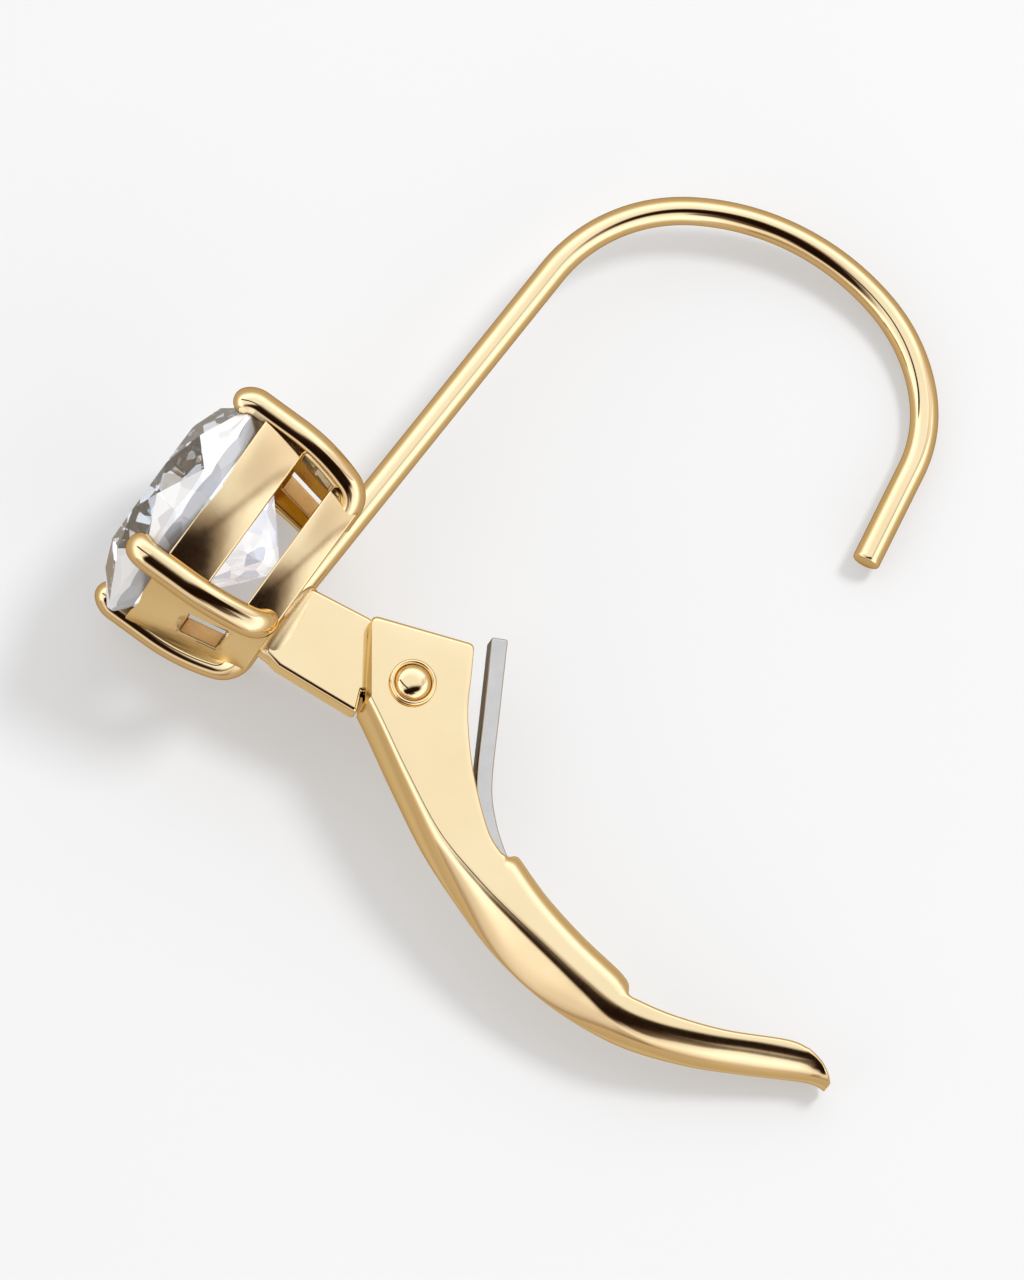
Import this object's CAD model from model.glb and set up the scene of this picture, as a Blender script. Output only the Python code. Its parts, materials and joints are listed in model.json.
# Looks of the open lever-back earring, lying on a pale floor.
# Shapes are worked out in millimetres in the earring's profile frame, as in the part's source:
# x runs back from the stone's face, y runs up the ear wire and z runs across the earring.
# They are then laid in the row frame, in metres, where the hinge says.
import json
import math

import bmesh
import bpy
import numpy as np
from mathutils import Matrix, Vector


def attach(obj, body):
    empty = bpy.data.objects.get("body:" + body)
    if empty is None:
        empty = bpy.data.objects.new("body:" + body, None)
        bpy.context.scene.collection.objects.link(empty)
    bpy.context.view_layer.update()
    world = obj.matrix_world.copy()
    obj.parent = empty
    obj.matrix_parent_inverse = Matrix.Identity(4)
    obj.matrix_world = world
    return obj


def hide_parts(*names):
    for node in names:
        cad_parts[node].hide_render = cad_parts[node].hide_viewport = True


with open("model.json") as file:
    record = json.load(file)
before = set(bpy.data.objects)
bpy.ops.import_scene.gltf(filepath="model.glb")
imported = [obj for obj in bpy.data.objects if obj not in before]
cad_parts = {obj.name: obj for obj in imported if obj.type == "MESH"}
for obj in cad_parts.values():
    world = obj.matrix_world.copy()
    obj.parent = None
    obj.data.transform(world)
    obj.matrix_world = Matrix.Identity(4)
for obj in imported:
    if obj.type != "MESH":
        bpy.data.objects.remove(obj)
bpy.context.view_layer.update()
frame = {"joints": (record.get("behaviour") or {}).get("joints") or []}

SETTING = "setting_body"
LEVER = "lever_body"
MM = 0.001

# Stone: its girdle, the back edge of its frosted strip, and shares of its radius and slopes
STONE_R = 3.25
GIRDLE_FRONT = -3.93
GIRDLE_BACK = -3.73
FROST_BACK = -3.4
STONE_GAP = 0.04
PRONG_GAP = 0.015
TABLE_SHARE = 0.57
LOWER_SHARE = 0.24
CROWN_SLOPE = math.tan(math.radians(32.5))
PAVILION_SLOPE = math.tan(math.radians(40.8))

# Basket: windows are rows of front edge, back edge and half width
BASKET_FRONT = -3.42
BASKET_BACK = -0.18
BASKET_FLOOR = -0.6
BASKET_HALF_FRONT = 2.85
BASKET_HALF_BACK = 2.2
BASKET_WALL = 0.5
SIDE_BULGE_R = 14.7
SIDE_WINDOW = (-2.16, -1.1, 2.12)
END_WINDOW = (-2.12, -1.12, 0.85)
BAR_BULGE = 0.028
BAR_ROWS = 6
# Columns across a wall, and beside its window in a side wall and in an end wall
WALL_COLUMNS = 20
WINDOW_EDGE_COLUMNS = (2, 8)
BASE_HOLE_R = 1.2

# Prongs and ear wire: rows of length, bend radius and turn in degrees
PRONG_R = 0.35
PRONG_WIDE_R = 0.4
PRONG_OUT = 3.51
PRONG_BEND_X = -2.66
PRONG_TO_BASE = [(0, 5, -21), (0, 0.62, -69), (0.5, 0, 0)]
PRONG_TO_TIP = [(1.12, 0, 0), (0, 0.4, 50)]
WIRE_R = 0.36
WIRE_DEPTH = 0.31
WIRE_LEAN = 2.5
WIRE_FOOT = -1.9
WIRE_STRAIGHT_TOP = 10.7
WIRE_TIP = 2.75
WIRE_END_R = 0.07
HOOK_BENDS = [(0, 4.5, -53.2), (0, 6.5, -49.4), (0, 4.45, -31.1), (0, 3.45, -34.9)]
# Solder beside the end walls: where it starts across the wall, and how high it meets the prong
SOLDER_START = 1.8
SOLDER_TOP_SHARE = 0.35

# Hinge
PIVOT = (3.42, -0.6)
RIVET_R = 0.3
RIVET_HEAD_R = 0.6
RIVET_HEAD_H = 0.3
RIVET_DOME_R = 0.46
RIVET_DOME_POWER = 0.7
RIVET_RIM_R = 0.06
RIVET_RIM_H = 0.08
RIVET_CHAMFER = 0.05
RIVET_DOME_FOOT = 0.06
RIVET_LIFT = 0.01
TONGUE_T = 0.72
TONGUE_END_R = 0.93
TONGUE_STEP = (2.53, -1.37)
TONGUE_OUTLINE = [
    (1.56, 0.33), (-0.1, 0.07), (-0.1, -2.02), (0.45, -2.12), (2.74, -1.92), TONGUE_STEP,
]
# Solder bead at the tongue's root: rows of place, height and reach to either side
ROOT_LINE = [(-0.02, 0.16, 0.36), (-0.02, -0.6, 0.42), (0.0, -1.4, 0.5), (0.05, -2.08, 0.56)]
ROOT_HALF = 0.44

# Lever
LEVER_HALF = 0.94
SLOT_HALF = 0.4
LEFT_FOOT_X = 2.77
FOLD_T = 0.3
FOLD_R = 0.55
EDGE_R = 0.12
INNER_EDGE_R = 0.04
LOW_EDGE_R = 0.09
SEAM_HALF = 0.04
CORNER_R = 0.17
SPRING_T = 0.42
SPRING_W = 0.7
# Points round half a cross-section: slanting face and corner, wall, upper edge
CROWN_POINTS = 34
WALL_STEPS = 6
EDGE_POINTS = 11
# The ear's outline: points, place of the foot under its upper corner, and of its last foot
EAR_POINTS = 90
EAR_CORNER_FOOT = 4.9
EAR_LAST_FOOT = 7.85

# Lever skin: place, height of the walls' lower edge, depth of the underside below that, width as a
# share, height of the slanting face over the underside, and radius of the corner above that face
SECTIONS = [
    (1.0, -0.84, 0.00, 1.00, 0.25, 0.16), (2.9, -1.79, 0.02, 1.00, 0.28, 0.17),
    (4.6, -2.66, 0.16, 1.00, 0.34, 0.20), (6.2, -3.36, 0.36, 1.00, 0.45, 0.26),
    (7.7, -3.86, 0.52, 1.00, 0.72, 0.32), (8.9, -4.13, 0.66, 1.00, 0.93, 0.37),
    (10.1, -4.29, 0.72, 0.98, 1.00, 0.42), (11.3, -4.35, 0.70, 0.95, 0.90, 0.47),
    (12.4, -4.29, 0.62, 0.91, 0.72, 0.60), (13.4, -4.10, 0.56, 0.87, 0.73, 0.76),
    (14.7, -3.64, 0.52, 0.82, 0.83, 0.86), (15.9, -3.06, 0.46, 0.77, 0.85, 0.86),
    (17.0, -2.51, 0.36, 0.70, 0.72, 0.74), (17.4, -2.31, 0.34, 0.69, 0.60, 0.62),
    (17.65, -2.20, 0.38, 0.73, 0.52, 0.50), (17.85, -2.11, 0.45, 0.79, 0.50, 0.45),
    (18.2, -1.94, 0.52, 0.85, 0.50, 0.45),
]
# Lever channel: place, height of its floor, half width as a share of the slot's
CHANNEL = [
    (1.0, -0.50, 1.00), (2.9, -1.46, 1.00), (4.6, -2.36, 1.00), (6.2, -3.02, 1.00),
    (7.7, -3.50, 1.00), (8.9, -3.85, 1.00), (10.1, -4.00, 1.00), (11.3, -4.08, 1.00),
    (12.4, -4.22, 1.12), (13.4, -4.08, 1.20), (14.7, -3.56, 1.15), (15.9, -2.98, 1.10),
    (17.1, -2.50, 1.00), (18.2, -2.06, 0.90),
]
# Lever seen from the side
EAR_CORNERS = [(1.58, 0.26), (4.1, 1.22)]
EAR_EDGE = [(4.56, 0.4), (4.98, -0.35), (5.69, -1.23), (6.4, -1.93), (7.2, -2.58), (7.72, -2.8)]
FOLD_EDGE = [(8.2, -2.54), (9.29, -2.92), (10.59, -3.2), (11.79, -3.35), (12.05, -3.41)]
# Ends of the folded lips: foot, outline point, and how far the wall is folded
FOLD_START = [
    (7.87, (7.81, -2.79), 0.0), (7.9, (7.88, -2.77), 0.15), (7.94, (7.93, -2.73), 0.4),
    (7.98, (7.97, -2.67), 0.65), (8.02, (8.01, -2.6), 0.85), (8.07, (8.06, -2.55), 0.97),
    (8.13, (8.13, -2.53), 1.0),
]
FOLD_END = [
    (12.12, (12.13, -3.43), 1.0), (12.17, (12.2, -3.47), 0.97), (12.21, (12.26, -3.53), 0.85),
    (12.24, (12.3, -3.61), 0.65), (12.27, (12.33, -3.69), 0.4), (12.3, (12.36, -3.77), 0.18),
    (12.34, (12.41, -3.82), 0.0),
]
TAIL_EDGE = [(12.5, -3.82), (13.53, -3.57), (14.86, -3.05), (16.29, -2.27), (16.85, -2.12)]
TAIL_TIP = [(16.85, -2.12), (17.3, -2.18), (17.65, -2.35), (17.8, -2.47)]
SPRING_LINE = [
    (4.53, 1.91), (5.43, 0.25), (6.34, -1.41), (6.98, -2.17), (7.7, -2.74), (8.6, -3.25), (9.4, -3.6),
]


# The profile frame, laid where the hinge is
hinge = frame["joints"][0]
hinge_axis = Vector(hinge["axis"]).normalized()
tilt = (
    Matrix.Rotation(-math.atan2(hinge_axis.y, hinge_axis.z), 4, "X")
    @ Matrix.Rotation(math.asin(hinge_axis.x), 4, "Y")
)
shift = Vector(hinge["pos_m"]) - tilt @ Vector((PIVOT[0] * MM, PIVOT[1] * MM, 0))
PROFILE = Matrix.Translation(shift) @ tilt @ Matrix.Scale(MM, 4)


# Curves
def polar(radius, degrees):
    angle = math.radians(degrees)
    return radius * np.array([math.cos(angle), math.sin(angle)])


def trace(start, heading, rows, step):
    """Points and headings along straight stretches and bends in the plane of x and y."""
    at = np.array(start, float)
    found = [(at, heading)]
    for length, radius, turn in rows:
        side = math.copysign(1, turn)
        size = length if radius == 0 else radius * math.radians(abs(turn))
        count = max(2, math.ceil(size / step))
        centre = at + polar(radius, heading + 90 * side)
        for k in range(1, count + 1):
            if radius == 0:
                point = at + polar(length * k / count, heading)
            else:
                point = centre + polar(radius, heading - 90 * side + turn * k / count)
            found.append((point, heading + turn * k / count))
        at, heading = found[-1]
    return found


def smooth(rows, steps):
    """Smooth curve through rows of numbers, with a number of steps between each two."""
    rows = np.array(rows, float)
    last = len(rows) - 1
    slopes = np.array([(rows[min(i + 1, last)] - rows[max(i - 1, 0)]) / 2 for i in range(last + 1)])
    found = []
    for i in range(last):
        for t in np.arange(steps) / steps:
            found.append(
                (2 * t**3 - 3 * t**2 + 1) * rows[i] + (t**3 - 2 * t**2 + t) * slopes[i]
                + (3 * t**2 - 2 * t**3) * rows[i + 1] + (t**3 - t**2) * slopes[i + 1]
            )
    return np.array(found + [rows[last]])


def fillet(points, radius, steps):
    """Polyline whose inner corners are rounded."""
    points = [np.array(p, float) for p in points]
    found = [points[0]]
    for before, corner, after in zip(points, points[1:], points[2:]):
        a, b = before - corner, after - corner
        a_dir, b_dir = a / np.linalg.norm(a), b / np.linalg.norm(b)
        half = math.acos(np.clip(a_dir @ b_dir, -1, 1)) / 2
        cut = min(radius / math.tan(half), 0.45 * np.linalg.norm(a), 0.45 * np.linalg.norm(b))
        start, end = corner + a_dir * cut, corner + b_dir * cut
        for t in np.linspace(0, 1, steps):
            found.append((1 - t) ** 2 * start + 2 * t * (1 - t) * corner + t**2 * end)
    return np.array(found + [points[-1]])


def resample(line, count, bend_weight=0.0):
    """A polyline's points again at even distances, closer together where it bends."""
    line = np.array(line, float)
    steps = np.linalg.norm(np.diff(line, axis=0), axis=1)
    keep = np.concatenate([[True], steps > 1e-9])
    line, steps = line[keep], steps[steps > 1e-9]
    if len(line) < 2:
        return np.repeat(line[:1], count, axis=0)
    heading = np.unwrap(np.arctan2(*np.diff(line, axis=0).T[::-1]))
    bends = np.concatenate([[0], np.abs(np.diff(heading)), [0]])
    weights = steps + bend_weight * (bends[:-1] + bends[1:]) / 2
    along = np.concatenate([[0], np.cumsum(weights)])
    wanted = np.linspace(0, along[-1], count)
    return np.stack([np.interp(wanted, along, line[:, k]) for k in range(line.shape[1])], axis=1)


# Meshes
BEVEL_SEGMENTS = 3
BEVEL_ANGLE = 38
SMOOTH_ANGLE = 35


def new_object(name, mesh_builder, material, body, nodes, bevel=0.0, facing=(), more=()):
    """A piece from a bmesh in the profile frame, laid in the row frame on its body.

    Materials in more come next after the first, for faces that the mesh marks itself. Those in
    facing each come with an axis, and go on the unmarked faces that look along it.
    """
    mesh = bpy.data.meshes.new(name)
    mesh_builder.transform(PROFILE)
    bmesh.ops.recalc_face_normals(mesh_builder, faces=mesh_builder.faces)
    mesh_builder.to_mesh(mesh)
    mesh_builder.free()
    piece = bpy.data.objects.new(name, mesh)
    bpy.context.scene.collection.objects.link(piece)
    mesh.materials.append(material)
    for face in mesh.polygons:
        face.use_smooth = True
    for face_material in more:
        mesh.materials.append(face_material)
    for axis, face_material in facing:
        mesh.materials.append(face_material)
        across = PROFILE.to_3x3().normalized() @ Vector(axis)
        for face in mesh.polygons:
            if face.material_index == 0 and abs(face.normal.dot(across)) > 0.7:
                face.material_index = len(mesh.materials) - 1
    if bevel:
        modifier = piece.modifiers.new("edges", "BEVEL")
        modifier.width = bevel * MM
        modifier.segments = BEVEL_SEGMENTS
        modifier.limit_method = "ANGLE"
        modifier.angle_limit = math.radians(BEVEL_ANGLE)
        modifier.use_clamp_overlap = False
        modifier.harden_normals = True
    mesh.set_sharp_from_angle(angle=math.radians(SMOOTH_ANGLE))
    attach(piece, body)
    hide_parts(*nodes)
    return piece


def add_loft(mesh, rings):
    """Joins a list of rings that have the same number of points, and closes both ends."""
    made = [[mesh.verts.new(p) for p in ring] for ring in rings]
    count = len(made[0])
    for first, second in zip(made, made[1:]):
        for j in range(count):
            k = (j + 1) % count
            mesh.faces.new((first[j], first[k], second[k], second[j]))
    mesh.faces.new(made[0])
    mesh.faces.new(made[-1])


def tube_rings(path, radii, sides):
    """Rings round a path in the plane of x and y."""
    rings = []
    for (point, heading), radius in zip(path, radii):
        normal = polar(1, heading + 90)
        ring = []
        for k in range(sides):
            a = 2 * math.pi * k / sides
            flat = point + normal * radius * math.cos(a)
            ring.append((flat[0], flat[1], radius * math.sin(a)))
        rings.append(ring)
    return rings


def dome(point, heading, radius, steps=8):
    """Path and radii of a dome beyond a point, up to a tiny flat at its top."""
    path, radii = [], []
    for k in range(1, steps + 1):
        a = math.pi / 2 * k / steps
        path.append((point + polar(radius * math.sin(a), heading), heading))
        radii.append(radius * max(math.cos(a), 0.02))
    return path, radii


# Setting
def side_radius(x):
    share = (x - BASKET_FRONT) / (BASKET_BACK - BASKET_FRONT)
    return SIDE_BULGE_R - share * (BASKET_HALF_FRONT - BASKET_HALF_BACK)


def side_height(x, s):
    """Height of a basket side over the axis, at a place s across it."""
    return BASKET_HALF_FRONT - SIDE_BULGE_R + math.sqrt(side_radius(x) ** 2 - s**2)


def corner_half(x):
    centre = SIDE_BULGE_R - BASKET_HALF_FRONT
    return (math.sqrt(2 * side_radius(x) ** 2 - centre**2) - centre) / 2


def hollow_half(x):
    return BASKET_HALF_FRONT - BASKET_WALL - (side_radius(BASKET_FRONT) - side_radius(x))


def seat_x(x, rho):
    """Depth of the rim where the stone's underside cuts it back."""
    return max(x, GIRDLE_BACK + (STONE_R + STONE_GAP - rho) * PAVILION_SLOPE)


def bar_bulge(x):
    """How far the bars before and behind a side window stand out in their middle."""
    for first, last in ((BASKET_FRONT, SIDE_WINDOW[0]), (SIDE_WINDOW[1], BASKET_BACK)):
        if first <= x <= last:
            across = (2 * x - first - last) / (last - first)
            return BAR_BULGE * (last - first) * (1 - across**2)
    return 0.0


def wall_places(half, cut, edge_columns):
    """Places across a wall, from edge to edge, with a window between -cut and cut."""
    return np.concatenate([
        np.linspace(-half, -cut, edge_columns + 1)[:-1],
        np.linspace(-cut, cut, WALL_COLUMNS - 2 * edge_columns + 1),
        np.linspace(cut, half, edge_columns + 1)[1:],
    ])


def build_basket():
    """Square tube with bulged sides, windows on all four, and a base plate with a round hole."""
    mesh = bmesh.new()
    rows = np.concatenate([
        np.linspace(BASKET_FRONT, SIDE_WINDOW[0], BAR_ROWS + 1), END_WINDOW[:2],
        np.linspace(SIDE_WINDOW[1], BASKET_BACK, BAR_ROWS + 1),
    ])
    outer, inner = [], []
    for side in range(4):
        window_half = (SIDE_WINDOW, END_WINDOW)[side % 2][2]
        edge_columns = WINDOW_EDGE_COLUMNS[side % 2]
        turn = Matrix.Rotation(math.radians(90 * side), 3, "X")
        outer_side, inner_side = [], []
        for i, x in enumerate(rows):
            x_window = min(max(x, SIDE_WINDOW[0]), SIDE_WINDOW[1])
            x_in = min(x, SIDE_WINDOW[1])
            x_in += (x - x_in) * (BASKET_FLOOR - SIDE_WINDOW[1]) / (BASKET_BACK - SIDE_WINDOW[1])
            half_out, half_in = corner_half(x), hollow_half(x_in)
            cut_out = window_half * half_out / corner_half(x_window)
            cut_in = min(window_half, hollow_half(x_window) - 0.03) * half_in / hollow_half(x_window)
            across_out = wall_places(half_out, cut_out, edge_columns)
            across_in = wall_places(half_in, cut_in, edge_columns)
            row_out, row_in = [], []
            for s_out, s_in in zip(across_out, across_in):
                z_out = side_height(x, s_out)
                if side % 2 == 0:
                    z_out += bar_bulge(x) * (1 - abs(s_out / half_out) ** 6)
                rim_out, rim_in = x, x_in
                if i == 0:
                    rim_out = seat_x(x, math.hypot(s_out, z_out))
                    rim_in = seat_x(x, math.hypot(s_in, half_in))
                row_out.append(mesh.verts.new(turn @ Vector((rim_out, s_out, z_out))))
                row_in.append(mesh.verts.new(turn @ Vector((rim_in, s_in, half_in))))
            outer_side.append(row_out)
            inner_side.append(row_in)
        outer.append(outer_side)
        inner.append(inner_side)

    def is_open(side, i, j):
        edge_columns = WINDOW_EDGE_COLUMNS[side % 2]
        window = (SIDE_WINDOW, END_WINDOW)[side % 2]
        in_rows = 0 <= i < len(rows) - 1 and window[0] < (rows[i] + rows[i + 1]) / 2 < window[1]
        return in_rows and edge_columns <= j < WALL_COLUMNS - edge_columns

    for side in range(4):
        for i in range(len(rows) - 1):
            for j in range(WALL_COLUMNS):
                if is_open(side, i, j):
                    continue
                for sheet in (outer, inner):
                    grid = sheet[side]
                    mesh.faces.new((grid[i][j], grid[i][j + 1], grid[i + 1][j + 1], grid[i + 1][j]))
                edges = {
                    (i - 1, j): ((i, j), (i, j + 1)), (i + 1, j): ((i + 1, j), (i + 1, j + 1)),
                    (i, j - 1): ((i, j), (i + 1, j)), (i, j + 1): ((i, j + 1), (i + 1, j + 1)),
                }
                for (ni, nj), (p, q) in edges.items():
                    if is_open(side, ni, nj):
                        mesh.faces.new((
                            outer[side][p[0]][p[1]], outer[side][q[0]][q[1]],
                            inner[side][q[0]][q[1]], inner[side][p[0]][p[1]],
                        ))
        for j in range(WALL_COLUMNS):
            rim_out, rim_in = outer[side][0], inner[side][0]
            mesh.faces.new((rim_out[j], rim_out[j + 1], rim_in[j + 1], rim_in[j]))
        for sheet, x in ((outer, BASKET_BACK), (inner, BASKET_FLOOR)):
            last = sheet[side][-1]
            hole = []
            for vert in last:
                a = math.atan2(vert.co.z, vert.co.y)
                hole.append(mesh.verts.new((x, BASE_HOLE_R * math.cos(a), BASE_HOLE_R * math.sin(a))))
            for j in range(WALL_COLUMNS):
                mesh.faces.new((last[j], last[j + 1], hole[j + 1], hole[j]))
            sheet[side].append(hole)
        for j in range(WALL_COLUMNS):
            hole_out, hole_in = outer[side][-1], inner[side][-1]
            mesh.faces.new((hole_out[j], hole_out[j + 1], hole_in[j + 1], hole_in[j]))
    bmesh.ops.remove_doubles(mesh, verts=mesh.verts, dist=1e-4)
    # The inside and the end windows' reveals are left unpolished
    slack = 0.01
    for face in mesh.faces:
        middle = face.calc_center_median()
        reach = max(abs(middle.y), abs(middle.z))
        inside = middle.x < BASKET_FLOOR + slack and reach < hollow_half(middle.x) + 5 * slack
        in_window = END_WINDOW[0] - slack < middle.x < END_WINDOW[1] + slack
        if inside or (in_window and abs(middle.z) < END_WINDOW[2] + slack):
            face.material_index = 1
    return mesh


def clear_of_stone(point):
    """Moves a point of a prong out of the stone, the shortest way."""
    x, rho = point.x, math.hypot(point.y, point.z)
    crown_n = np.array([-1, CROWN_SLOPE]) / math.hypot(1, CROWN_SLOPE)
    pavilion_n = np.array([1, PAVILION_SLOPE]) / math.hypot(1, PAVILION_SLOPE)
    ways = []
    for normal, edge_x in ((crown_n, GIRDLE_FRONT), (pavilion_n, GIRDLE_BACK), (np.array([0, 1]), 0)):
        depth = normal @ (np.array([edge_x, STONE_R]) - np.array([x, rho])) + PRONG_GAP
        ways.append((depth, tuple(normal)))
    depth, normal = min(ways)
    if depth <= 0:
        return point
    scale = 1 + depth * normal[1] / rho
    return Vector((x + depth * normal[0], point.y * scale, point.z * scale))


def prong_path():
    """The prong's middle line from the tip to the base, with its headings."""
    start = (PRONG_BEND_X, PRONG_OUT)
    to_tip = trace(start, 180, PRONG_TO_TIP, 0.05)
    to_base = trace(start, 0, PRONG_TO_BASE, 0.07)
    return [(p, h - 180) for p, h in reversed(to_tip)][:-1] + to_base


def build_prongs():
    mesh = bmesh.new()
    path = prong_path()
    # The tip's dome goes on before the first point
    head, head_radii = dome(path[0][0], path[0][1] + 180, PRONG_R)
    head = [(p, h - 180) for p, h in reversed(head)]
    radii = head_radii[::-1] + [PRONG_R] * len(path)
    rings = tube_rings(head + path, radii, 32)
    wide = PRONG_WIDE_R / PRONG_R
    for turn in (45, 135, 225, 315):
        rotation = Matrix.Rotation(math.radians(turn), 3, "X")
        laid = [
            [clear_of_stone(rotation @ Vector((x, y, z * wide))) for x, y, z in ring] for ring in rings
        ]
        add_loft(mesh, laid)
    return mesh


def build_corner_solder():
    """Solder that carries each end wall on to the outermost line of the prongs beside it."""
    mesh = bmesh.new()
    path = [point for point, heading in prong_path() if abs(heading) < 30]
    line = np.array([point for point in path if BASKET_FRONT + 0.02 < point[0] < BASKET_BACK])
    for end in (-1, 1):
        for side in (-1, 1):
            rings = []
            for x, rho in line:
                middle = rho / math.sqrt(2)
                top = middle + SOLDER_TOP_SHARE * PRONG_R
                low = side_height(x, SOLDER_START) - 0.01
                ring = [(x, end * (low - 0.25), side * SOLDER_START)]
                for t in np.linspace(0, 1, 12):
                    across = SOLDER_START + (middle - SOLDER_START) * t
                    ring.append((x, end * (low + (top - low) * t * t), side * across))
                ring.append((x, end * (middle - 0.1), side * middle))
                rings.append(ring)
            add_loft(mesh, rings)
    return mesh


def build_ear_wire():
    mesh = bmesh.new()
    foot = (-WIRE_DEPTH + WIRE_FOOT * math.tan(math.radians(WIRE_LEAN)), WIRE_FOOT)
    length = (WIRE_STRAIGHT_TOP - WIRE_FOOT) / math.cos(math.radians(WIRE_LEAN))
    rows = [(length, 0, 0)] + HOOK_BENDS + [(WIRE_TIP, 0, 0)]
    path = trace(foot, 90 - WIRE_LEAN, rows, 0.12)
    radii = [WIRE_R] * len(path)
    point, heading = path[-1]
    path[-1] = (point - polar(WIRE_END_R, heading), heading)
    for k in range(1, 5):
        a = math.pi / 2 * k / 4
        path.append((point - polar(WIRE_END_R * (1 - math.sin(a)), heading), heading))
        radii.append(WIRE_R - WIRE_END_R * (1 - math.cos(a)))
    add_loft(mesh, tube_rings(path, radii, 36))
    return mesh


def add_plate(mesh, outline, half):
    """Flat plate between z = -half and z = half."""
    bottom = [mesh.verts.new((x, y, -half)) for x, y in outline]
    top = [mesh.verts.new((x, y, half)) for x, y in outline]
    mesh.faces.new(bottom)
    mesh.faces.new(top)
    count = len(outline)
    for j in range(count):
        k = (j + 1) % count
        mesh.faces.new((bottom[j], bottom[k], top[k], top[j]))


def build_tongue():
    mesh = bmesh.new()
    offset = np.array(TONGUE_STEP) - PIVOT
    first = math.degrees(math.atan2(offset[1], offset[0]))
    arc = [tuple(np.array(PIVOT) + polar(TONGUE_END_R, a)) for a in np.linspace(first, 90, 40)]
    add_plate(mesh, TONGUE_OUTLINE + arc, TONGUE_T / 2)
    return mesh


def build_seam():
    """Solder bead where the tongue's root meets the ear wire's lower end."""
    mesh = bmesh.new()
    line = smooth(ROOT_LINE, 10)
    ends = np.sqrt(np.sin(np.linspace(0.02, math.pi - 0.02, len(line)))) ** 0.4
    rings = []
    for (x, y, reach), size in zip(line, ends):
        angles = 2 * math.pi * np.arange(32) / 32
        across, side = reach * size, ROOT_HALF * size
        rings.append([(x + across * math.cos(a), y, side * math.sin(a)) for a in angles])
    add_loft(mesh, rings)
    return mesh


# Lever
def table(rows):
    """Functions of x for each column of a table."""
    places, *columns = smooth(rows, 12).T
    return [lambda x, column=column: float(np.interp(x, places, column)) for column in columns]


edge_at, crown_at, share_at, rise_at, corner_at = table(SECTIONS)
floor_at, slot_share_at = table(CHANNEL)


def lever_stations():
    """Place of each cross-section: its foot, the point on the lever's edge above it, and the fold there."""
    ear_edge = smooth(EAR_EDGE, 4)
    foot = (LEFT_FOOT_X, edge_at(LEFT_FOOT_X) - crown_at(LEFT_FOOT_X))
    ear = fillet([foot] + EAR_CORNERS + [tuple(ear_edge[0])], CORNER_R, 8)[1:]
    ear = np.concatenate([ear, ear_edge[1:]])
    ear = resample(ear, EAR_POINTS, 0.12)
    along = np.concatenate([[0], np.cumsum(np.linalg.norm(np.diff(ear, axis=0), axis=1))])
    corner = along[np.argmax(ear[:, 1])]
    feet = np.interp(along, [0, corner, along[-1]], [LEFT_FOOT_X, EAR_CORNER_FOOT, EAR_LAST_FOOT])
    stations = [(x, tuple(top), 0.0) for x, top in zip(feet, ear)]
    stations += FOLD_START
    stations += [(x, (x, y), 1.0) for x, y in smooth(FOLD_EDGE, 8)]
    stations += FOLD_END
    stations += [(x, (x, y), 0.0) for x, y in smooth(TAIL_EDGE, 8)]
    stations += [(x, (x, y), 0.0) for x, y in smooth(TAIL_TIP, 8)[1:]]
    return stations


def arc_points(centre, radius, first, last, count):
    angles = np.radians(np.linspace(first, last, count))
    return np.stack([centre[0] + radius * np.cos(angles), centre[1] + radius * np.sin(angles)], axis=1)


def line_points(start, end, count):
    return np.linspace(start, end, count + 1)[1:]


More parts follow.
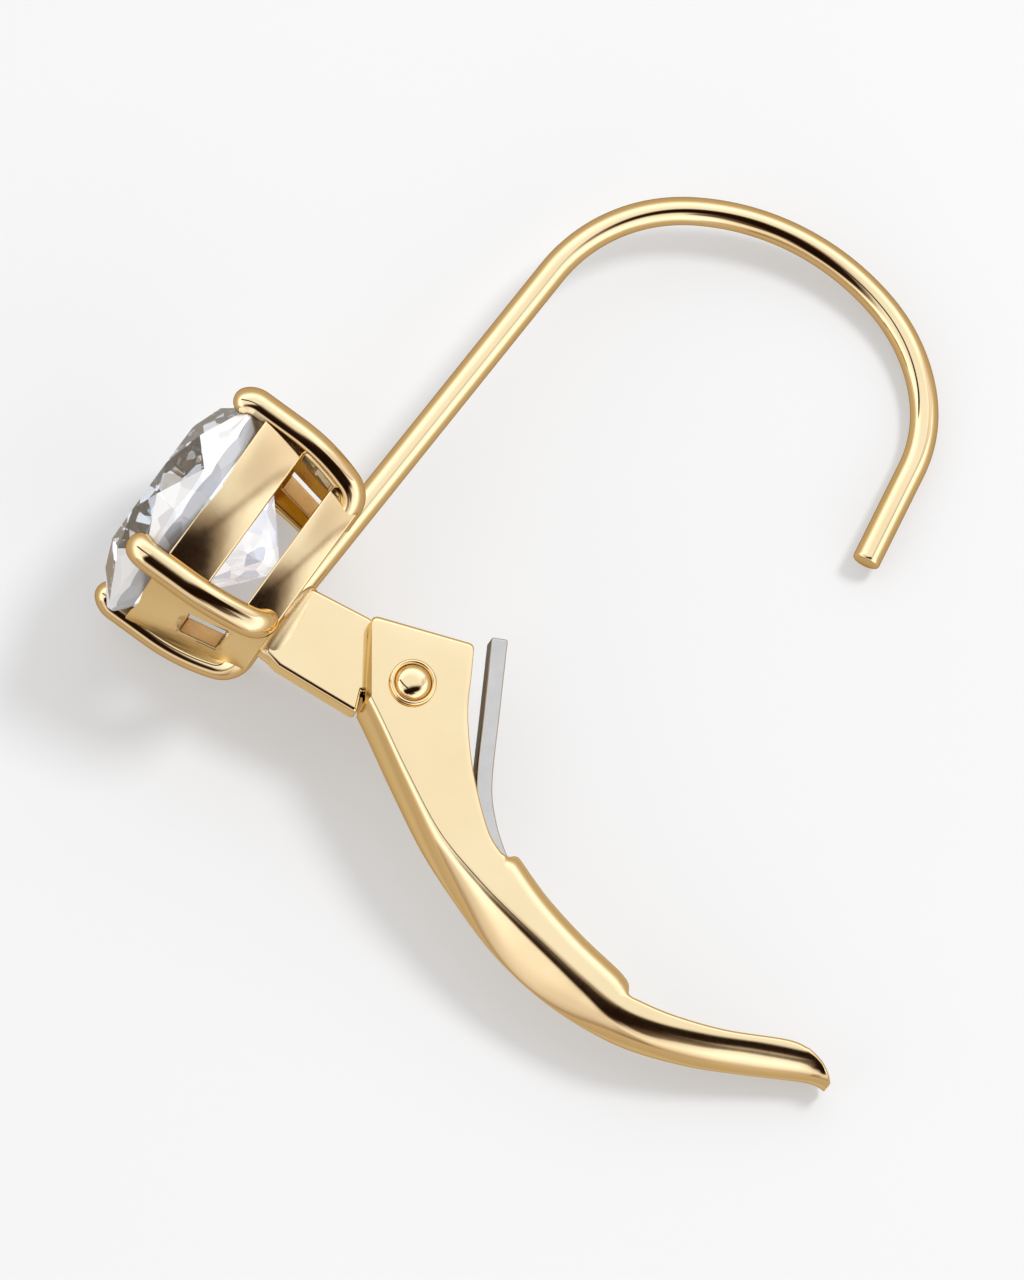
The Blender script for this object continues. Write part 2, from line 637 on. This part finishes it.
def half_section(x, top_y, fold):
    """Half of a cross-section, as z and y, from under the web's middle round to the channel's."""
    half = LEVER_HALF * share_at(x)
    bottom = edge_at(x) - crown_at(x)
    rise = rise_at(x)
    corner_r = corner_at(x)
    # The corner turns from 45 degrees to upright, and the face curves from the web's middle to it
    corner = arc_points((half - corner_r, bottom + rise), corner_r, -45, 0, 40)
    foot_z, foot_y = corner[0]
    t = np.linspace(0, 1, 60)[:-1, None]
    middle, bend = np.array([0, bottom]), np.array([max(foot_z - (foot_y - bottom), 0.0), bottom])
    face = (1 - t) ** 2 * middle + 2 * t * (1 - t) * bend + t**2 * corner[0]
    crown = np.concatenate([face, corner])
    top_y = max(top_y, bottom + 1e-3)
    edge_r = min(EDGE_R + (FOLD_R - EDGE_R) * fold, max(0.0, top_y - bottom - rise))
    low_edge_r = min(LOW_EDGE_R, (top_y - bottom) / 2)
    if top_y - low_edge_r < bottom + rise:
        edge_r = low_edge_r
        half = np.interp(top_y - edge_r, crown[:, 1], crown[:, 0])
        crown = np.concatenate([crown[crown[:, 1] < top_y - edge_r], [[half, top_y - edge_r]]])
    slot = min(SLOT_HALF * slot_share_at(x), half - edge_r - 0.02) if fold < 1 else SLOT_HALF
    slot = max(slot, 0.001)
    inner = max(slot + (SEAM_HALF - slot) * min(1, 1.5 * fold), 0.001)
    inner = min(inner, max(half - edge_r - 0.01, 0.001))
    floor = min(floor_at(x), top_y)
    lip = min(FOLD_T, top_y - floor)
    inner_r = min(INNER_EDGE_R, lip / 2, (half - edge_r - inner) / 2)
    return np.concatenate([
        resample(crown, CROWN_POINTS, 0.25),
        line_points((half, crown[-1][1]), (half, top_y - edge_r), WALL_STEPS),
        arc_points((half - edge_r, top_y - edge_r), edge_r, 0, 90, EDGE_POINTS)[1:],
        line_points((half - edge_r, top_y), (inner + inner_r, top_y), 2),
        arc_points((inner + inner_r, top_y - inner_r), inner_r, 90, 180, 4)[1:],
        line_points((inner, top_y - inner_r), (inner, top_y - lip), 1),
        line_points((inner, top_y - lip), (slot, top_y - lip), 1),
        line_points((slot, top_y - lip), (slot, floor), 3),
        line_points((slot, floor), (0, floor), 3),
    ])


def build_lever():
    mesh = bmesh.new()
    rings = []
    for x, top, fold in lever_stations():
        foot_y = edge_at(x) - crown_at(x) + 0.9 * rise_at(x)
        lean = (top[0] - x) / max(top[1] - foot_y, 0.05)
        half = half_section(x, top[1], fold)
        ring = np.concatenate([half, half[1:-1][::-1] * [-1, 1]])
        rings.append([(x + max(y - foot_y, 0) * lean, y, z) for z, y in ring])
    add_loft(mesh, rings)
    bmesh.ops.remove_doubles(mesh, verts=mesh.verts, dist=2e-3)
    return mesh


def build_spring():
    mesh = bmesh.new()
    line = smooth(SPRING_LINE, 6)
    heading = np.gradient(line, axis=0)
    heading /= np.linalg.norm(heading, axis=1)[:, None]
    across = np.stack([-heading[:, 1], heading[:, 0]], axis=1)
    rings = []
    for point, side in zip(line, across):
        a, b = point + side * SPRING_T / 2, point - side * SPRING_T / 2
        rings.append([
            (a[0], a[1], -SPRING_W / 2), (a[0], a[1], SPRING_W / 2),
            (b[0], b[1], SPRING_W / 2), (b[0], b[1], -SPRING_W / 2),
        ])
    add_loft(mesh, rings)
    return mesh


def build_rivet():
    """Shank and two heads, each a low rim round a small dome, turned as one."""
    mesh = bmesh.new()
    base = LEVER_HALF + RIVET_LIFT
    shoulder = base + RIVET_CHAMFER
    half_profile = [(RIVET_R, base), (RIVET_HEAD_R - RIVET_CHAMFER, base), (RIVET_HEAD_R, shoulder)]
    rim_middle = (RIVET_HEAD_R - RIVET_RIM_R, base + RIVET_RIM_H)
    half_profile += [tuple(p) for p in arc_points(rim_middle, RIVET_RIM_R, 0, 165, 9)]
    half_profile.append((RIVET_DOME_R + 0.015, shoulder))
    for a in np.radians(np.linspace(0, 90, 13)[1:]):
        rise = RIVET_DOME_FOOT + (RIVET_HEAD_H - RIVET_DOME_FOOT) * math.sin(a)
        half_profile.append((RIVET_DOME_R * math.cos(a) ** RIVET_DOME_POWER, base + rise))
    upper = [(max(r, 0.002), z) for r, z in half_profile]
    lower = [(r, -z) for r, z in reversed(upper)]
    rings = []
    for r, z in lower + upper:
        places = [PIVOT + polar(r, 360 * k / 48) for k in range(48)]
        rings.append([(x, y, z) for x, y in places])
    add_loft(mesh, rings)
    return mesh


# Stone
def build_diamond():
    """Round brilliant with flat facets: table, stars, kites, girdle facets and pavilion."""
    mesh = bmesh.new()
    half_step = math.radians(22.5)
    outer_r = STONE_R / math.cos(half_step / 2)
    table_r = STONE_R * TABLE_SHARE
    star_r = (STONE_R + table_r * math.cos(half_step)) / 2
    lower_r = STONE_R * LOWER_SHARE
    crown_h = (STONE_R - table_r) * CROWN_SLOPE
    star_h = (STONE_R - star_r * math.cos(half_step)) * CROWN_SLOPE
    lower_h = (STONE_R - lower_r * math.cos(half_step)) * PAVILION_SLOPE
    girdle_h = GIRDLE_BACK - GIRDLE_FRONT

    def at(radius, angle, height):
        return (GIRDLE_FRONT - height, radius * math.sin(angle), radius * math.cos(angle))

    points = [at(0, 0, -girdle_h - STONE_R * PAVILION_SLOPE)]
    for k in range(8):
        points.append(at(table_r, 2 * k * half_step, crown_h))
        points.append(at(star_r, (2 * k + 1) * half_step, star_h))
        points.append(at(lower_r, (2 * k + 1) * half_step, -girdle_h - lower_h))
    # The girdle's scalloped edges: where the facets next to it meet the round outline
    drop = outer_r - STONE_R
    steps = 9
    for side in range(16):
        for k in range(steps):
            angle = (side + k / steps) * half_step
            inner = (side + 1 - side % 2) * half_step
            first, second = side * half_step, (side + 1) * half_step
            for inner_r, inner_h, outer_h in (
                (star_r, star_h, -drop * CROWN_SLOPE),
                (lower_r, -girdle_h - lower_h, -girdle_h + drop * PAVILION_SLOPE),
            ):
                corners = np.array([
                    (inner_r * math.cos(inner), inner_r * math.sin(inner), inner_h),
                    (outer_r * math.cos(first), outer_r * math.sin(first), outer_h),
                    (outer_r * math.cos(second), outer_r * math.sin(second), outer_h),
                ])
                normal = np.cross(corners[1] - corners[0], corners[2] - corners[0])
                flat = np.array([STONE_R * math.cos(angle), STONE_R * math.sin(angle)])
                height = corners[0][2] - normal[:2] @ (flat - corners[0][:2]) / normal[2]
                points.append(at(STONE_R, angle, height))
    for point in points:
        mesh.verts.new(point)
    bmesh.ops.convex_hull(mesh, input=mesh.verts)
    bmesh.ops.dissolve_limit(
        mesh, angle_limit=math.radians(0.3), use_dissolve_boundaries=False,
        verts=mesh.verts, edges=mesh.edges,
    )
    bmesh.ops.bisect_plane(
        mesh, geom=mesh.verts[:] + mesh.edges[:] + mesh.faces[:],
        plane_co=(FROST_BACK, 0, 0), plane_no=(1, 0, 0),
    )
    return mesh


# Materials
BROWN_RIM = (0.5, 0.33, 0.15, 1)
SATIN_RIM = (0.8, 0.66, 0.42, 1)
BRUSHED_RIM = (0.95, 0.85, 0.6, 1)
STEEL_RIM = (0.2, 0.2, 0.22, 1)
GOLD_TONES = ((0.87, 0.71, 0.44, 1), (0.91, 0.75, 0.48, 1))
UNPOLISHED_TONES = ((0.5, 0.28, 0.1, 1), (0.68, 0.43, 0.19, 1))
STEEL_TONES = ((0.55, 0.55, 0.56, 1), (0.66, 0.66, 0.67, 1))
CLEAR_TONES = ((0.87, 0.92, 1.0, 1), (0.95, 0.97, 1.0, 1))
UNDERSIDE_TONES = ((0.45, 0.52, 0.66, 1), (0.95, 0.98, 1.0, 1))
FROST_TONES = ((0.72, 0.75, 0.8, 1), (0.9, 0.92, 0.96, 1))
SHADE_TONES = ((0.34, 0.37, 0.45, 1), (0.52, 0.55, 0.62, 1))
FLOOR_TONES = ((0.405, 0.41, 0.42, 1), (0.42, 0.425, 0.435, 1))
DIAMOND_IOR = 2.417


def new_material(name):
    material = bpy.data.materials.new(name)
    material.use_nodes = True
    nodes = material.node_tree.nodes
    return material, nodes, material.node_tree.links, nodes["Principled BSDF"]


def set_inputs(node, values):
    for socket, value in values.items():
        node.inputs[socket].default_value = value


def noise(nodes, links, scale, detail=2):
    """Noise that stays with the piece as it moves."""
    place = nodes.new("ShaderNodeTexCoord")
    node = nodes.new("ShaderNodeTexNoise")
    set_inputs(node, {"Scale": scale, "Detail": detail})
    links.new(place.outputs["Object"], node.inputs["Vector"])
    return node.outputs["Fac"]


def two_tones(nodes, links, value, tones, first=0.0, last=1.0):
    """Colours from one tone to the other as a value goes from first to last."""
    ramp = nodes.new("ShaderNodeValToRGB")
    for element, position, tone in zip(ramp.color_ramp.elements, (first, last), tones):
        element.position = position
        element.color = tone
    links.new(value, ramp.inputs["Fac"])
    return ramp.outputs["Color"]


def gold(name, roughness, scratches, tones=GOLD_TONES, rim=BROWN_RIM):
    """Yellow gold: faint tone changes, fine polishing marks, and brown where it turns away."""
    material, nodes, links, shader = new_material(name)
    tone = noise(nodes, links, 420, 3)
    links.new(two_tones(nodes, links, tone, tones, 0.35, 0.65), shader.inputs["Base Color"])
    fine = noise(nodes, links, 5200, 4)
    spread = nodes.new("ShaderNodeMapRange")
    set_inputs(spread, {"To Min": roughness * 0.75, "To Max": roughness * 1.3})
    links.new(fine, spread.inputs["Value"])
    links.new(spread.outputs["Result"], shader.inputs["Roughness"])
    bump = nodes.new("ShaderNodeBump")
    set_inputs(bump, {"Strength": scratches, "Distance": 0.000004})
    links.new(fine, bump.inputs["Height"])
    links.new(bump.outputs["Normal"], shader.inputs["Normal"])
    set_inputs(shader, {"Metallic": 1, "Specular Tint": rim})
    return material


def steel(name):
    material, nodes, links, shader = new_material(name)
    grain = noise(nodes, links, 2600, 4)
    links.new(two_tones(nodes, links, grain, STEEL_TONES), shader.inputs["Base Color"])
    set_inputs(shader, {"Metallic": 1, "Roughness": 0.32, "Specular Tint": STEEL_RIM})
    return material


def clear_diamond(name):
    """Colourless diamond, with the faintest cloudiness."""
    material, nodes, links, shader = new_material(name)
    cloud = noise(nodes, links, 1500)
    links.new(two_tones(nodes, links, cloud, CLEAR_TONES), shader.inputs["Base Color"])
    set_inputs(shader, {"Roughness": 0, "IOR": DIAMOND_IOR, "Transmission Weight": 1})
    return material


def stone_underside(name, cells, turn, tones, roughness, glow):
    """The stone's far side: mirror-like from inside, pale from outside, in small flashes."""
    material, nodes, links, inside = new_material(name)

    def vector_math(operation, first, second=None):
        node = nodes.new("ShaderNodeVectorMath")
        node.operation = operation
        links.new(first, node.inputs[0])
        if isinstance(second, bpy.types.NodeSocket):
            links.new(second, node.inputs[1])
        elif operation == "SCALE":
            node.inputs["Scale"].default_value = second
        elif second:
            node.inputs[1].default_value = second
        return node.outputs["Vector"]

    place = nodes.new("ShaderNodeTexCoord")
    flashes = nodes.new("ShaderNodeTexVoronoi")
    flashes.inputs["Scale"].default_value = cells
    links.new(place.outputs["Object"], flashes.inputs["Vector"])
    surface = nodes.new("ShaderNodeNewGeometry")
    lean = vector_math("SCALE", vector_math("SUBTRACT", flashes.outputs["Color"], (0.5, 0.5, 0.5)), turn)
    leaned = vector_math("NORMALIZE", vector_math("ADD", surface.outputs["Normal"], lean))
    links.new(leaned, inside.inputs["Normal"])
    set_inputs(inside, {"Base Color": (0.86, 0.92, 1.0, 1), "Metallic": 0.8, "Roughness": 0.02})
    outside = nodes.new("ShaderNodeBsdfPrincipled")
    colours = two_tones(nodes, links, flashes.outputs["Color"], tones)
    links.new(colours, outside.inputs["Base Color"])
    links.new(colours, outside.inputs["Emission Color"])
    links.new(leaned, outside.inputs["Normal"])
    set_inputs(outside, {"Roughness": roughness, "IOR": DIAMOND_IOR, "Emission Strength": glow})
    sides = nodes.new("ShaderNodeMixShader")
    links.new(surface.outputs["Backfacing"], sides.inputs["Fac"])
    links.new(outside.outputs["BSDF"], sides.inputs[1])
    links.new(inside.outputs["BSDF"], sides.inputs[2])
    links.new(sides.outputs["Shader"], nodes["Material Output"].inputs["Surface"])
    return material


def floor_material(name):
    material, nodes, links, shader = new_material(name)
    grain = noise(nodes, links, 60)
    links.new(two_tones(nodes, links, grain, FLOOR_TONES), shader.inputs["Base Color"])
    set_inputs(shader, {
        "Roughness": 0.8, "Specular IOR Level": 0.0,
        "Emission Color": (1, 1, 1, 1), "Emission Strength": 0.35,
    })
    return material


polished = gold("polished_gold", 0.07, 0.08)
satin = gold("satin_gold", 0.11, 0.12, rim=SATIN_RIM)
brushed = gold("brushed_gold", 0.33, 0.2, rim=BRUSHED_RIM)
unpolished = gold("unpolished_gold", 0.28, 0.3, UNPOLISHED_TONES)
spring_steel = steel("spring_steel")
clear_stone = clear_diamond("clear_diamond")
stone_back = stone_underside("diamond_underside", 2000, 0.45, UNDERSIDE_TONES, 0.08, 0.6)
girdle_frost = stone_underside("frosted_girdle", 1500, 0.4, FROST_TONES, 0.5, 0.0)
girdle_shade = stone_underside("shaded_girdle", 1500, 0.4, SHADE_TONES, 0.5, 0.0)

# Pieces
new_object(
    "basket", build_basket(), polished, SETTING, ["setting_with_ear_wire"], 0.05,
    facing=[((0, 1, 0), brushed), ((0, 0, 1), satin)], more=[unpolished],
)
for name, mesh, material, bevel in (
    ("corner_solder", build_corner_solder(), brushed, 0.0), ("tongue_seam", build_seam(), brushed, 0.0),
    ("prongs", build_prongs(), polished, 0.0), ("ear_wire", build_ear_wire(), polished, 0.0),
    ("hinge_tongue", build_tongue(), satin, 0.12),
):
    new_object(name, mesh, material, SETTING, ["setting_with_ear_wire"], bevel)
new_object("lever_shell", build_lever(), satin, LEVER, ["lever"])
new_object("flat_spring", build_spring(), spring_steel, LEVER, ["lever_spring"], 0.06)
new_object("rivet", build_rivet(), polished, LEVER, ["hinge_rivet"])

# The stone is clear up to its girdle, then frosted, shaded behind the girdle, and mirror-like
stone = new_object(
    "round_brilliant", build_diamond(), clear_stone, SETTING, ["diamond"],
    more=[girdle_frost, girdle_shade, stone_back],
)
stone_parts = (GIRDLE_FRONT - 0.05, GIRDLE_BACK + 0.01, FROST_BACK)
stone_axis = PROFILE.to_3x3().normalized() @ Vector((1, 0, 0))
unlaid = PROFILE.inverted()
for face in stone.data.polygons:
    face.use_smooth = abs(face.normal.dot(stone_axis)) < 0.1
    face.material_index = sum((unlaid @ face.center).x > start for start in stone_parts)

# Floor
FLOOR_HALF = 0.5
floor_mesh = bpy.data.meshes.new("floor")
corners = [(x * FLOOR_HALF, y * FLOOR_HALF, 0) for x, y in ((-1, -1), (1, -1), (1, 1), (-1, 1))]
floor_mesh.from_pydata(corners, [], [(0, 1, 2, 3)])
floor = bpy.data.objects.new("floor", floor_mesh)
floor_mesh.materials.append(floor_material("pale_floor"))
bpy.context.scene.collection.objects.link(floor)
floor.visible_glossy = False

# Camera at the photo's angle: the view leans 18 degrees off the profile's side, towards the
# lever, and the ear wire runs 54 degrees up to the right
VIEW_LEAN = math.radians(18)
WIRE_ANGLE = math.radians(54)
back = tilt.to_3x3() @ Vector((0, -math.sin(VIEW_LEAN), math.cos(VIEW_LEAN)))
wire_up = Vector((0, math.cos(VIEW_LEAN), math.sin(VIEW_LEAN)))
right = tilt.to_3x3() @ (Vector((math.sin(WIRE_ANGLE), 0, 0)) + wire_up * math.cos(WIRE_ANGLE))
up = tilt.to_3x3() @ (Vector((-math.cos(WIRE_ANGLE), 0, 0)) + wire_up * math.sin(WIRE_ANGLE))
SENSOR_WIDTH = 36
FRAME_HEIGHT = 0.0322
CAMERA_DISTANCE = 0.6
AIM = PROFILE @ Vector((4.8, 2.166, 0))
camera_data = bpy.data.cameras.new("camera")
camera_data.sensor_width = SENSOR_WIDTH
camera_data.lens = SENSOR_WIDTH * CAMERA_DISTANCE / FRAME_HEIGHT
camera_data.clip_start = 0.01
camera_data.clip_end = 5
camera = bpy.data.objects.new("camera", camera_data)
camera_turn = Matrix((right, up, back)).transposed().to_4x4()
camera.matrix_world = Matrix.Translation(AIM + back * CAMERA_DISTANCE) @ camera_turn
bpy.context.scene.collection.objects.link(camera)
bpy.context.scene.camera = camera


# Key light, a soft disc that does not show in the gold
KEY_DISTANCE = 0.5
KEY_SIZE = 0.13
KEY_POWER = 1.6
key_data = bpy.data.lights.new("key", "AREA")
key_data.shape = "DISK"
key_data.size = KEY_SIZE
key_data.energy = KEY_POWER
key = bpy.data.objects.new("key", key_data)
key_direction = (right * 0.62 + up * 0.6 + back * 0.85).normalized()
key.location = key_direction * KEY_DISTANCE
key.rotation_mode = "QUATERNION"
key.rotation_quaternion = key_direction.to_track_quat("Z", "Y")
key.visible_glossy = False
bpy.context.scene.collection.objects.link(key)

# White dome with dark gaps between its lights, as in a light tent. A place on it is the sine of
# the angle from the camera. A gap has its turn in degrees, its middle along that turn and across
# it, its half length, and levels for distances from its middle line.
GAPS = [
    (35, -0.1, -0.19, 0.43, [(0, 0.012), (0.17, 0.02), (0.23, 0.3), (0.3, 0.85), (0.36, 1.0)]),
    (150, 0.45, 0.0, 0.35, [(0, 0.03), (0.05, 0.06), (0.11, 1.0)]),
    (19, 0.65, 0.0, 0.25, [(0, 0.42), (0.012, 0.48), (0.035, 1.0)]),
    (29, 0.83, 0.0, 0.02, [(0, 0.62), (0.09, 0.66), (0.2, 1.0)]),
    (-100, 0.82, 0.0, 0.16, [(0, 0.68), (0.16, 0.74), (0.34, 1.0)]),
    (-36, 0.0, -1.0, 0.36, [(0, 0.58), (0.12, 0.62), (0.2, 1.0)]),
    (35, -0.2, -0.47, 0.12, [(0, 0.13), (0.1, 0.2), (0.18, 1.0)]),
]
# Powers of a level for red, green and blue, which turn a gap brown
GAP_WARMTH = (1, 1.2, 1.36)
DOME_STRENGTH = 1.42
# Degrees from the camera, brightness, and how golden the light is there
DOME = [
    (0, 0.73, 0), (36, 0.75, 0), (48, 0.9, 0), (60, 1.15, 0), (72, 0.95, 0.1), (84, 0.6, 0.6),
    (98, 0.44, 1.0), (125, 0.42, 0.9), (146, 0.53, 0.45), (165, 0.42, 0.9), (180, 0.3, 1.0),
]
# How much less red, green and blue golden light has
GOLDEN_LESS = (0, 0.22, 0.5)
world = bpy.data.worlds.new("studio")
world.use_nodes = True
bpy.context.scene.world = world
world_nodes, world_links = world.node_tree.nodes, world.node_tree.links


def world_node(kind, operation=None, *inputs):
    """A node of the world whose inputs are numbers, vectors or other nodes' outputs."""
    node = world_nodes.new(kind)
    if operation:
        node.operation = operation
    for socket, value in zip(node.inputs, inputs):
        if isinstance(value, bpy.types.NodeSocket):
            world_links.new(value, socket)
        else:
            socket.default_value = value
    return node


def world_math(operation, *inputs):
    return world_node("ShaderNodeMath", operation, *inputs).outputs[0]


def toward(direction):
    """Cosine of the angle between the looked-up direction and this one."""
    return world_node("ShaderNodeVectorMath", "DOT_PRODUCT", sky, direction).outputs["Value"]


def world_ramp(value, stops):
    """Colours along a value."""
    node = world_node("ShaderNodeValToRGB", None, value)
    node.color_ramp.interpolation = "EASE"
    while len(node.color_ramp.elements) < len(stops):
        node.color_ramp.elements.new(1)
    for element, (position, colour) in zip(node.color_ramp.elements, stops):
        element.position = position
        element.color = (*colour, 1)
    return node.outputs["Color"]


sky = world_nodes.new("ShaderNodeTexCoord").outputs["Generated"]
to_right, to_top = toward(right), toward(up)
# Past a right angle from the camera this is above the gaps' last level, which leaves them out
behind = world_math("MAXIMUM", world_math("MULTIPLY", toward(back), -4.0), 0.0)


def gap(turn, middle_along, middle_across, half_length, levels):
    """How bright the dome is next to one of its dark gaps."""
    cos_turn, sin_turn = math.cos(math.radians(turn)), math.sin(math.radians(turn))

    def turned(operation, first, second):
        parts = world_math("MULTIPLY", first, cos_turn), world_math("MULTIPLY", second, sin_turn)
        return world_math(operation, *parts)

    along = world_math("SUBTRACT", turned("ADD", to_right, to_top), middle_along)
    off_line = world_math("SUBTRACT", turned("SUBTRACT", to_top, to_right), middle_across)
    past_end = world_math("SUBTRACT", world_math("ABSOLUTE", along), half_length)
    past_end = world_math("MAXIMUM", past_end, 0.0)
    squares = [world_math("MULTIPLY", value, value) for value in (past_end, off_line)]
    distance = world_math("SQRT", world_math("ADD", *squares))
    stops = [(place, [level**power for power in GAP_WARMTH]) for place, level in levels]
    return world_ramp(world_math("ADD", distance, behind), stops)


angle = world_math("DIVIDE", world_math("ARCCOSINE", toward(back)), math.pi)
stops = [
    (degrees / 180, [level * (1 - less * golden) for less in GOLDEN_LESS])
    for degrees, level, golden in DOME
]
light = world_ramp(angle, stops)
for row in GAPS:
    light = world_node("ShaderNodeVectorMath", "MULTIPLY", light, gap(*row)).outputs["Vector"]
background = world_nodes["Background"]
background.inputs["Strength"].default_value = DOME_STRENGTH
world_links.new(light, background.inputs["Color"])

bpy.context.scene.view_settings.view_transform = "Standard"
